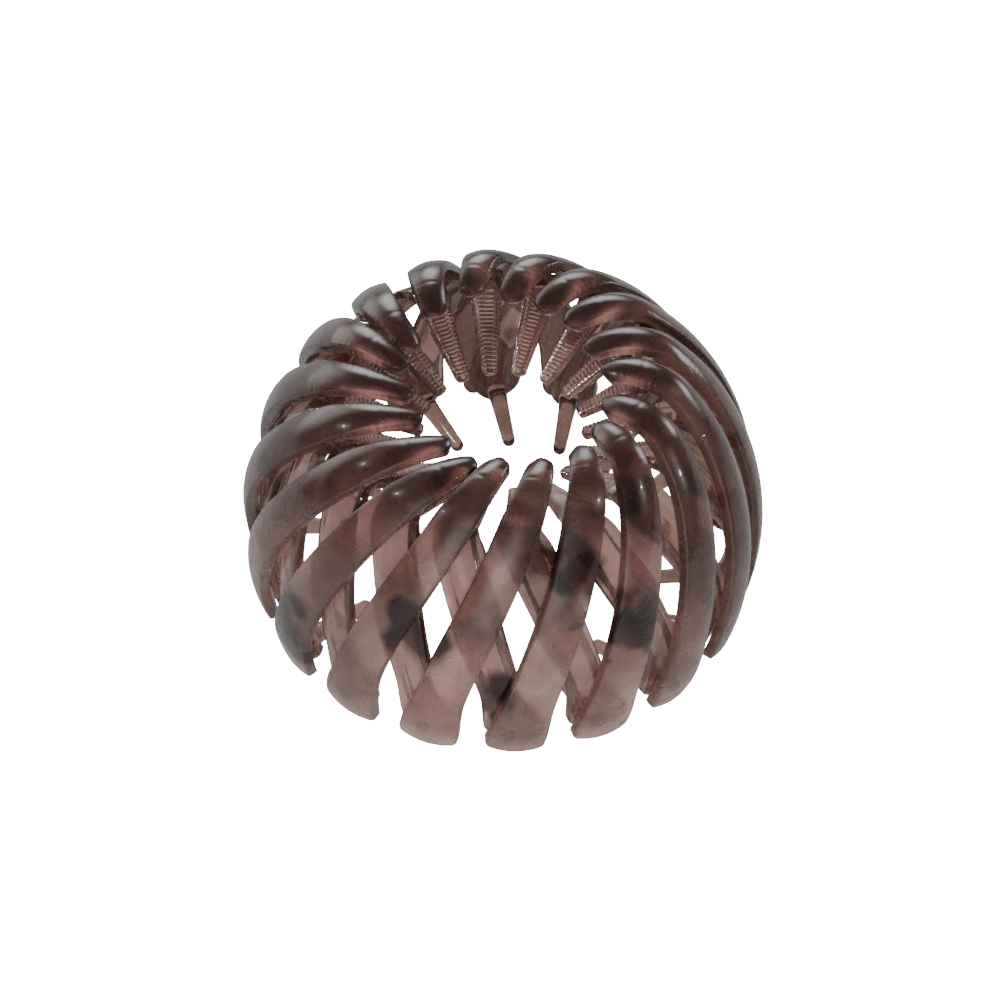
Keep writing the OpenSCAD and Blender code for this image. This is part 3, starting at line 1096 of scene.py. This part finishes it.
@dataclass(frozen=True)
class SmokyPlastic:
    """Glossy translucent brown plastic with dark clouds.

    Args:
        name: The material's name.
        low: Colour at the front feet, before the painted shade.
        high: Colour towards the top and the back, where the painted shade is full.
        blotch: Colour in the dark patches.
        cloud_scale: How much finer the clouds are than the shared ones.
        cloudiness: How far the clouds darken it, from 0 to 1.
        graininess: How far the dark grains darken it, from 0 to 1.
        absorb: Colour that light keeps on its way through.
        density: How fast it is absorbed, per metre.
        roughness: Roughness inside, which blurs what lies behind.
        clear_rough: Roughness where there is no cloud, as a share of that.
        cloudy_rough: Roughness in the thick of a cloud, as a share of that.
        ior: Index of refraction.
        transmission: Share of light that goes through.
        sheen_level: Strength of the soft reflection from inside the skin.
        gloss: Weight of the smooth outer skin.
        gloss_roughness: Roughness of that skin.
        ripple: Height of the skin's unevenness, in metres.
    """

    name: str
    low: Colour
    high: Colour
    blotch: Colour = (0.055, 0.016, 0.014, 1.0)
    cloud_scale: float = 1.0
    cloudiness: float = 0.42
    graininess: float = 0.6
    absorb: Colour = (0.46, 0.31, 0.265, 1.0)
    density: float = 150.0
    roughness: float = 0.26
    clear_rough: float = 0.9
    cloudy_rough: float = 1.15
    ior: float = 1.49
    transmission: float = 0.86
    sheen_level: float = 0.22
    gloss: float = 0.65
    gloss_roughness: float = 0.03
    ripple: float = 0.00015

    def material(self, clouds: bpy.types.ShaderNodeTree) -> bpy.types.Material:
        """Builds the material from the shared clouds.

        Args:
            clouds: The group that Clouds.group returns.

        Returns:
            The material.
        """
        mat = bpy.data.materials.new(self.name)
        mat.use_nodes = True
        tree = mat.node_tree
        tree.nodes.clear()
        make = NodeMaker(tree)
        group = tree.nodes.new("ShaderNodeGroup")
        group.node_tree = clouds
        group.inputs["Scale"].default_value = self.cloud_scale
        # Painted shade: from the low colour at the front feet to the high colour towards the top and the
        # back.
        colour = make.mix(group.outputs["PaintedShade"], self.low, self.high)
        colour = make.mix(make.math("MULTIPLY", group.outputs["Cloud"], self.cloudiness), colour, self.blotch)
        colour = make.mix(group.outputs["Blotch"], colour, self.blotch)
        colour = make.mix(make.math("MULTIPLY", group.outputs["Speck"], self.graininess), colour, self.blotch)
        rough = make.remap(group.outputs["Cloud"], 0.0, 1.0, self.roughness * self.clear_rough,
                           self.roughness * self.cloudy_rough)
        uneven = make.add("ShaderNodeBump", Distance=self.ripple, Height=group.outputs["Ripple"]).outputs[0]
        shader = make.add("ShaderNodeBsdfPrincipled", Base_Color=colour, Roughness=rough, Normal=uneven)
        for name, value in (
                ("IOR", self.ior), ("Transmission Weight", self.transmission),
                ("Specular IOR Level", self.sheen_level), ("Coat Weight", self.gloss),
                ("Coat Roughness", self.gloss_roughness)):
            shader.inputs[name].default_value = value
        out = tree.nodes.new("ShaderNodeOutputMaterial")
        tree.links.new(shader.outputs[0], out.inputs["Surface"])
        body = make.add("ShaderNodeVolumeAbsorption")
        body.inputs["Color"].default_value = self.absorb
        body.inputs["Density"].default_value = self.density
        tree.links.new(body.outputs[0], out.inputs["Volume"])
        return mat


@dataclass(frozen=True)
class TipBend:
    """How one blade's tip has bent out of the regular ring.

    Args:
        lean_in: How far it leans in towards the axis, in millimetres.
        slip: How many degrees it has slipped round the ring.
    """

    lean_in: float
    slip: float


TIP_BENDS = tuple(TipBend(*row) for row in (
    (-1.0, 1.0), (0.0, -2.0), (1.0, -5.0), (1.5, 0.0), (2.5, 0.0), (1.5, 3.0),
    (1.0, 1.0), (0.0, -1.0), (-1.5, -3.0), (0.0, -2.0), (2.0, 5.0), (2.0, 0.0),
    (3.0, 3.0), (2.5, 4.0), (2.0, 9.0), (0.0, 7.0), (0.5, 1.0), (-0.5, 1.0),
))


@dataclass
class NestClip:
    """The whole clip: a blade and a strip for each unit.

    Args:
        ring: Sizes that all units share.
        blade: The outer blade.
        strip: The inner strip.
        prong: The prong on each strip.
        stud_r: Radius of the pivot studs.
        stud_play: Play round and above a stud in its socket.
        stud_reach: How far a stud reaches into its blade.
        held: How far above its upper pivot a blade still keeps in line.
        sharp_deg: Angle between faces past which an edge is shaded sharp.
    """

    ring: Ring = field(default_factory=Ring)
    blade: OuterBlade = field(default_factory=OuterBlade)
    strip: InnerStrip = field(default_factory=InnerStrip)
    prong: Prong = field(default_factory=Prong)
    stud_r: float = 1.1
    stud_play: float = 0.15
    stud_reach: float = 0.9
    held: float = 6.0
    sharp_deg: float = 40.0

    def crossing(self) -> float:
        """Climb in degrees from the foot pivot to where a blade crosses the next unit's strip.

        Both turns are quadratic in the climb c, so the crossing is the root of
        square c^2 + plain c = pitch - foot turn.

        Returns:
            The climb.
        """
        b, s = self.blade, self.strip
        k = np.radians(self.ring.dome_r) / b.length
        m = np.radians(s.face_r) / s.climb
        square = b.sweep_deg * (1 - b.even_lean) * k * k + s.sweep_deg * (1 - s.even_lean) * m * m
        plain = b.sweep_deg * b.even_lean * k + s.sweep_deg * s.even_lean * m
        gap = self.ring.pitch - b.foot_turn
        return float((np.sqrt(plain * plain + 4 * square * gap) - plain) / (2 * square))

    @staticmethod
    def joined(name: str, body: Skin, extras: list[Skin], operation: str) -> bpy.types.Mesh:
        """Joins closed surfaces to a body, or cuts them out of it.

        Args:
            name: Name of the result.
            body: The main surface.
            extras: The surfaces to join or cut out.
            operation: UNION or DIFFERENCE.

        Returns:
            The finished mesh.
        """
        main = bpy.data.objects.new(name, body.mesh(name))
        bpy.context.collection.objects.link(main)
        tools = []
        for k, extra in enumerate(extras):
            tool = bpy.data.objects.new(f"{name}_tool_{k}", extra.mesh(f"{name}_tool_{k}"))
            bpy.context.collection.objects.link(tool)
            step = main.modifiers.new(f"join_{k}", "BOOLEAN")
            step.operation, step.solver, step.object = operation, "EXACT", tool
            tools.append(tool)
        shown = main.evaluated_get(bpy.context.evaluated_depsgraph_get())
        mesh = bpy.data.meshes.new_from_object(shown)
        mesh.name = name
        for spare in [main, *tools]:
            old = spare.data
            bpy.data.objects.remove(spare)
            bpy.data.meshes.remove(old)
        return mesh

    def blade_mesh(self, bend: TipBend) -> bpy.types.Mesh:
        """One blade with its two blind sockets.

        Args:
            bend: How its tip has bent.

        Returns:
            The mesh of the unit at the front.
        """
        climb = self.crossing()
        cross_s = float(np.radians(climb) * self.ring.dome_r)
        blade = replace(self.blade, lean_in=bend.lean_in, slip=bend.slip, free_from=cross_s + self.held)
        top = blade.thick - self.stud_reach - self.stud_play
        hole = Stud(self.stud_r + self.stud_play, self.strip.face_depth, top)
        at = float(blade.turn(np.array(cross_s)))
        return self.joined("blade_form", blade.skin(), [
            hole.skin(self.ring, self.ring.foot_angle, 0.0),
            hole.skin(self.ring, self.ring.foot_angle + climb, at)], "DIFFERENCE")

    def strip_mesh(self) -> bpy.types.Mesh:
        """One strip with its prong and its two studs.

        Returns:
            The mesh of the unit at the front.
        """
        climb = self.crossing()
        root = self.strip.face_depth + self.strip.thick / 2
        stud = Stud(self.stud_r, root, self.blade.thick - self.stud_reach)
        at = float(self.strip.turn(np.array(np.radians(climb) * self.strip.face_r)))
        return self.joined("strip_form", self.strip.skin(), [
            self.prong.skin(self.ring, self.strip),
            stud.skin(self.ring, self.ring.foot_angle, 0.0),
            stud.skin(self.ring, self.ring.foot_angle + climb, at)], "UNION")

    def turned(self, form: bpy.types.Mesh, name: str, number: int) -> bpy.types.Object:
        """A copy of a form turned to its place in the ring.

        Args:
            form: The mesh of the unit at the front.
            name: The new piece's name.
            number: The unit's number, from 1.

        Returns:
            The piece, at the origin, with its place in its mesh.
        """
        mesh = form.copy()
        mesh.name = name
        co = np.empty(len(mesh.vertices) * 3, dtype=np.float32)
        mesh.vertices.foreach_get("co", co)
        co = co.reshape(-1, 3)
        a = np.radians(self.ring.turn + (number - 1) * self.ring.pitch)
        turn = np.array([[np.cos(a), -np.sin(a), 0.0], [np.sin(a), np.cos(a), 0.0], [0.0, 0.0, 1.0]])
        mesh.vertices.foreach_set("co", (co @ turn.T).astype(np.float32).ravel())
        mesh.polygons.foreach_set("use_smooth", np.ones(len(mesh.polygons), dtype=bool))
        mesh.update()
        mesh.set_sharp_from_angle(angle=np.radians(self.sharp_deg))
        piece = bpy.data.objects.new(name, mesh)
        bpy.context.collection.objects.link(piece)
        return piece

    def build(self, finishes: dict[Layer, bpy.types.Material]) -> None:
        """Builds every blade and strip, dresses it and puts it in place of its node.

        Args:
            finishes: The material of each layer.
        """
        strip = self.strip_mesh()
        layers = {layer: bpy.data.collections.new(layer.value) for layer in Layer}
        for number, bend in enumerate(TIP_BENDS, start=1):
            blade = self.blade_mesh(bend)
            forms = ((Layer.BLADES, "outer_blade", blade), (Layer.STRIPS, "inner_strip", strip))
            for layer, word, form in forms:
                node = f"{word}_{number:02d}"
                piece = self.turned(form, f"{node}_shape", number)
                piece.data.materials.clear()
                piece.data.materials.append(finishes[layer])
                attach(piece, "root")
                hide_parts(node)
                layers[layer].objects.link(piece)
                LOG.info("%s: %d faces", node, len(form.polygons))


@dataclass(frozen=True)
class Lamp:
    """A square lamp aimed at the clip.

    Args:
        name: Its name.
        place: Where it hangs, in metres.
        size: Its side, in metres.
        power: Its power, in watts.
        lights: True where it lights the plastic itself.
        mirrored: True where it shows as a reflection.
        only: The one layer that it falls on, if it doesn't fall on everything.
        core: Where it begins to fade, as a share of its side from its middle.
        rim: Where it has faded away.
        strength: Strength at its middle.
    """

    name: str
    place: tuple[float, float, float]
    size: float
    power: float
    lights: bool = True
    mirrored: bool = True
    only: Layer | None = None
    core: float = 0.1
    rim: float = 0.5
    strength: float = 2.0

    def build(self) -> None:
        """Makes the lamp, which fades smoothly from its middle to its rim."""
        light = bpy.data.lights.new(self.name, "AREA")
        light.size, light.energy = self.size, self.power
        light.use_nodes = True
        tree = light.node_tree
        tree.nodes.clear()
        make = NodeMaker(tree)
        spot = make.add("ShaderNodeNewGeometry").outputs["Parametric"]
        fade = make.remap(make.distance(spot, LAMP_MIDDLE), self.rim, self.core, 0.0, self.strength)
        shader = make.add("ShaderNodeEmission", Strength=fade)
        out = tree.nodes.new("ShaderNodeOutputLight")
        tree.links.new(shader.outputs[0], out.inputs[0])
        lamp = bpy.data.objects.new(self.name, light)
        lamp.location = self.place
        lamp.rotation_euler = aimed(np.array(LAMP_AIM) - np.array(self.place))
        lamp.visible_glossy = self.mirrored
        lamp.visible_diffuse = lamp.visible_transmission = self.lights
        if self.only is not None:
            lamp.light_linking.receiver_collection = bpy.data.collections[self.only.value]
        bpy.context.collection.objects.link(lamp)


LAMPS = (
    Lamp("left_box", (-0.75, 0.75, 0.30), 1.5, 6.5),
    Lamp("right_box", (0.85, 0.65, 0.35), 0.6, 3.0),
    Lamp("back_box", (0.0, 1.0, 0.5), 1.0, 7.0),
    Lamp("front_fill", (0.0, -0.8, 0.3), 0.8, 9.0, mirrored=False),
    Lamp("right_glint", (0.85, -0.2, 0.45), 0.025, 1.2, lights=False),
    Lamp("left_glint", (-0.7, -0.1, 0.7), 0.025, 1.2, lights=False),
    Lamp("tooth_glint", (-0.5, 0.05, 0.8), 0.3, 46.0, lights=False, only=Layer.STRIPS),
)


@dataclass(frozen=True)
class Studio:
    """A pale floor and soft lights.

    Args:
        floor_half: Half the side of the floor, in metres.
        world: Strength of the light from all round.
        glow: Glow of the floor.
        through_glow: Further glow of the floor through the plastic.
        seen_glow: Further glow of the floor straight to the camera.
        mirror_loss: Share of the glow that reflections lose.
        pale: Colour of the floor.
        mirrored_pale: Its colour in reflections.
        floor_rough: Roughness of the floor.
    """

    floor_half: float = 3.0
    world: float = 0.08
    glow: float = 0.3
    through_glow: float = 0.51
    seen_glow: float = 24.0
    mirror_loss: float = 0.3
    pale: Colour = (0.8, 0.8, 0.8, 1.0)
    mirrored_pale: Colour = (0.5, 0.5, 0.5, 1.0)
    floor_rough: float = 0.9

    def build(self) -> None:
        """Makes the floor, the world and the lights."""
        mesh = bpy.data.meshes.new("floor")
        h = self.floor_half
        mesh.from_pydata([(-h, -h, 0.0), (h, -h, 0.0), (h, h, 0.0), (-h, h, 0.0)], [], [(0, 1, 2, 3)])
        floor = bpy.data.objects.new("floor", mesh)
        bpy.context.collection.objects.link(floor)
        mesh.materials.append(self.floor_material())
        world = bpy.data.worlds.new("studio")
        world.use_nodes = True
        back = world.node_tree.nodes["Background"]
        back.inputs[0].default_value = WHITE
        back.inputs[1].default_value = self.world
        bpy.context.scene.world = world
        for lamp in LAMPS:
            lamp.build()

    def floor_material(self) -> bpy.types.Material:
        """A pale floor: dimmer in reflections, brighter through the plastic, near white to the camera.

        Returns:
            The material.
        """
        mat = bpy.data.materials.new("pale_floor")
        mat.use_nodes = True
        tree = mat.node_tree
        tree.nodes.clear()
        make = NodeMaker(tree)
        path = make.add("ShaderNodeLightPath")
        mirrored = path.outputs["Is Glossy Ray"]
        seen = make.weighted((path.outputs["Is Camera Ray"], self.seen_glow),
                             (path.outputs["Is Transmission Ray"], self.through_glow))
        kept = make.math("SUBTRACT", 1.0, make.math("MULTIPLY", mirrored, self.mirror_loss))
        glow = make.math("MULTIPLY", make.math("ADD", seen, self.glow), kept)
        shade = make.mix(mirrored, self.pale, self.mirrored_pale)
        shader = make.add("ShaderNodeBsdfPrincipled", Base_Color=shade, Roughness=self.floor_rough)
        shader.inputs["Emission Color"].default_value = WHITE
        tree.links.new(glow, shader.inputs["Emission Strength"])
        out = tree.nodes.new("ShaderNodeOutputMaterial")
        tree.links.new(shader.outputs[0], out.inputs["Surface"])
        return mat


def aimed(direction: np.ndarray) -> tuple[float, float, float]:
    """Euler angles of a lamp or camera that looks along a direction."""
    return tuple(Vector(direction).to_track_quat("-Z", "Y").to_euler())


@dataclass(frozen=True)
class PhotoView:
    """The camera at the photograph's viewing angle.

    Args:
        elevation: Degrees above level.
        distance_px: Distance from the waist's centre, in pixels of a 1000 pixel frame.
        mm_per_px: Millimetres to a pixel at that distance.
        right_px: How far right of the frame's middle the waist's centre lies.
        down_px: How far below the frame's middle it lies.
        frame_px: Width of the frame, in pixels.
        sensor_mm: Width of the camera's sensor.
        sees_m: Nearest and furthest distance that it sees, in metres.
    """

    elevation: float = 48.0
    distance_px: float = 3977.0
    mm_per_px: float = 38.0 / 260.0
    right_px: float = 2.5
    down_px: float = 10.3
    frame_px: float = 1000.0
    sensor_mm: float = 36.0
    sees_m: tuple[float, float] = (0.01, 20.0)

    def build(self, ring: Ring) -> None:
        """Makes the camera and sets it as the scene's.

        Args:
            ring: Sizes of the ring that it looks at.
        """
        e = np.radians(self.elevation)
        back = np.array([0.0, -np.cos(e), np.sin(e)])
        up = np.array([0.0, np.sin(e), np.cos(e)])
        right = np.array([1.0, 0.0, 0.0])
        away_px = self.distance_px * back - self.right_px * right + self.down_px * up
        place = (np.array([0.0, 0.0, ring.waist_z]) + away_px * self.mm_per_px) * MM
        data = bpy.data.cameras.new("photo_view")
        data.sensor_width = self.sensor_mm
        data.lens = self.sensor_mm * self.distance_px / self.frame_px
        data.clip_start, data.clip_end = self.sees_m
        camera = bpy.data.objects.new("photo_view", data)
        camera.location = place
        camera.rotation_euler = aimed(-back)
        bpy.context.collection.objects.link(camera)
        bpy.context.scene.camera = camera


BLOTCHES = (
    Blotch((-30.7, -22.3, 12.4), 6.4, 1.0),
    Blotch((-28.5, -23.8, 17.0), 3.6, 1.0),
    Blotch((-13.5, -32.1, 26.1), 3.8, 1.0),
    Blotch((-14.9, -32.5, 21.6), 3.2, 1.0),
    Blotch((-10.8, -31.8, 20.9), 4.4, 1.0),
    Blotch((0.6, -31.9, 10.4), 4.9, 1.0),
    Blotch((5.4, -28.2, 32.2), 5.2, 1.0),
    Blotch((8.3, -31.0, 31.0), 4.6, 1.0),
    Blotch((18.6, -31.4, 20.5), 5.0, 1.0),
    Blotch((16.2, -20.0, 37.5), 3.6, 0.8),
    Blotch((1.1, 32.7, 14.6), 3.4, 0.8),
    Blotch((-6.6, -17.1, 40.5), 3.0, 0.8),
    Blotch((-8.6, -20.5, 40.5), 3.8, 0.8),
    Blotch((-3.8, -35.1, 25.4), 3.4, 0.4),
)

# The low and high colours of each finish paint shade, darker towards the top and the back.
BLADE_FINISH = SmokyPlastic("smoky_blades", low=(0.90, 0.59, 0.51, 1.0), high=(0.29, 0.154, 0.132, 1.0))
STRIP_FINISH = SmokyPlastic("smoky_strips", low=(0.78, 0.51, 0.44, 1.0), high=(0.70, 0.465, 0.405, 1.0),
                            roughness=0.12)


def main() -> None:
    """Builds the camera, the studio and the clip."""
    logging.basicConfig(level=logging.INFO, format="%(name)s: %(message)s")
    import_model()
    clip = NestClip()
    PhotoView().build(clip.ring)
    clouds = Clouds(BLOTCHES).group()
    clip.build({Layer.BLADES: BLADE_FINISH.material(clouds), Layer.STRIPS: STRIP_FINISH.material(clouds)})
    Studio().build()
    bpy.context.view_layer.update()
    LOG.info("sizes written")


if __name__ == "__main__":
    main()
